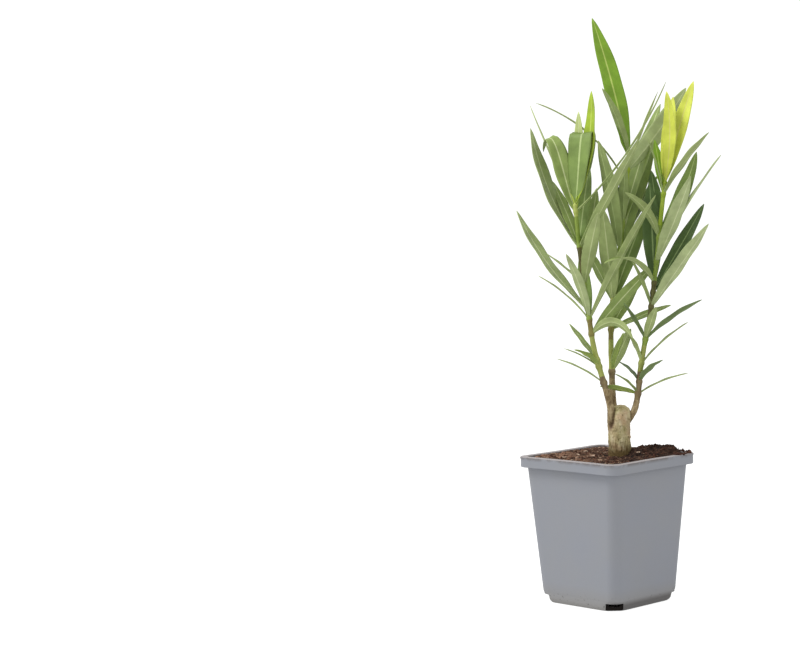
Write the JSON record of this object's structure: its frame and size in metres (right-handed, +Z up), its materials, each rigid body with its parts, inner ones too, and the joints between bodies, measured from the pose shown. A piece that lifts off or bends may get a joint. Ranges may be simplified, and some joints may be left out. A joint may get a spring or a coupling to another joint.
{
  "type": "potted oleander",
  "caption": "Young oleander on a short cut-back trunk, with upright leafy shoots of narrow pointed leaves, in a square tapered nursery pot of dark peat soil.",
  "frame": {"origin": "middle of the pot's flat underside, where it stands", "axes": "+Z up along the plant; X and Y square to the pot's sides; the plant's broad side looks past a corner of the pot, along the direction 139.5 degrees clockwise from +X"},
  "size_m": [0.1574, 0.1806, 0.541],
  "materials": {
    "pot": "blue-grey, slightly scuffed and dusty",
    "soil": "damp dark brown peat with lumps and fibres",
    "bark": "tan mottled bark",
    "leaf": "leathery, with a slight sheen and a paler midrib"
  },
  "bodies": {
    "root": {"pot": "pot", "soil": "soil", "trunk": "bark", "bough_left": "bark", "bough_middle": "bark", "bough_right": "bark", "leaves_left_lower": "leaf", "leaves_left_upper": "leaf", "leaves_middle_lower": "leaf", "leaves_middle_upper": "leaf", "leaves_right_lower": "leaf", "leaves_right_upper": "leaf"}
  },
  "joints": []
}
